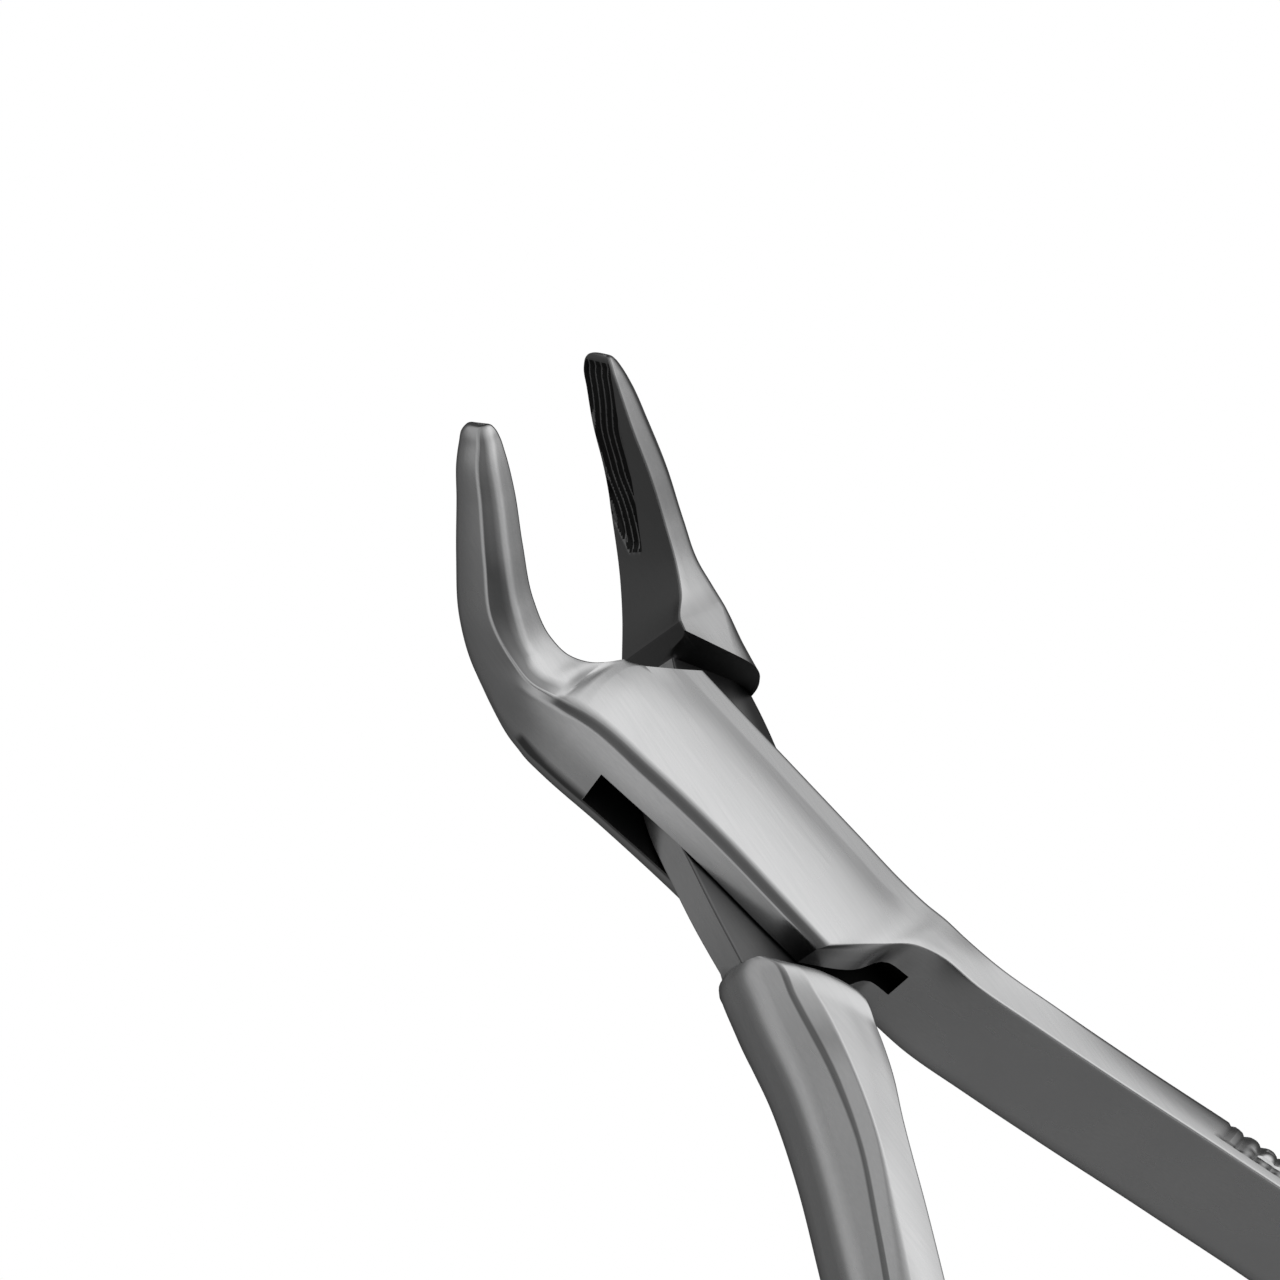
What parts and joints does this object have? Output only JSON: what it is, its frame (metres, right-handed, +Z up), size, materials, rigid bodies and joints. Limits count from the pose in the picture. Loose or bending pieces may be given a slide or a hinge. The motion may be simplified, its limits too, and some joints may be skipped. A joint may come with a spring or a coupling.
{
  "type": "extraction forceps",
  "caption": "Dental extraction forceps in polished steel with a box joint, upswept grooved beaks and long bowed handles.",
  "frame": {"origin": "on the joint axis, in the plane the forceps rest on", "axes": "+X towards the beaks along the middle line between the open halves, +Z up out of the top plate along the joint axis"},
  "size_m": [0.1742, 0.0814, 0.0238],
  "materials": {
    "steel_box_half": "satin polished",
    "steel_insert_half": "satin polished",
    "steel_pin": "ground flush and polished"
  },
  "bodies": {
    "box_side": {"box_half": "steel_box_half", "joint_pin": "steel_pin"},
    "insert_side": {"insert_half": "steel_insert_half"}
  },
  "joints": [
    {"name": "box_joint", "type": "hinge", "parent": "box_side", "child": "insert_side", "pos_m": [0, 0, 0], "axis": [0, 0, 1], "range_deg": [-9, 18]}
  ]
}
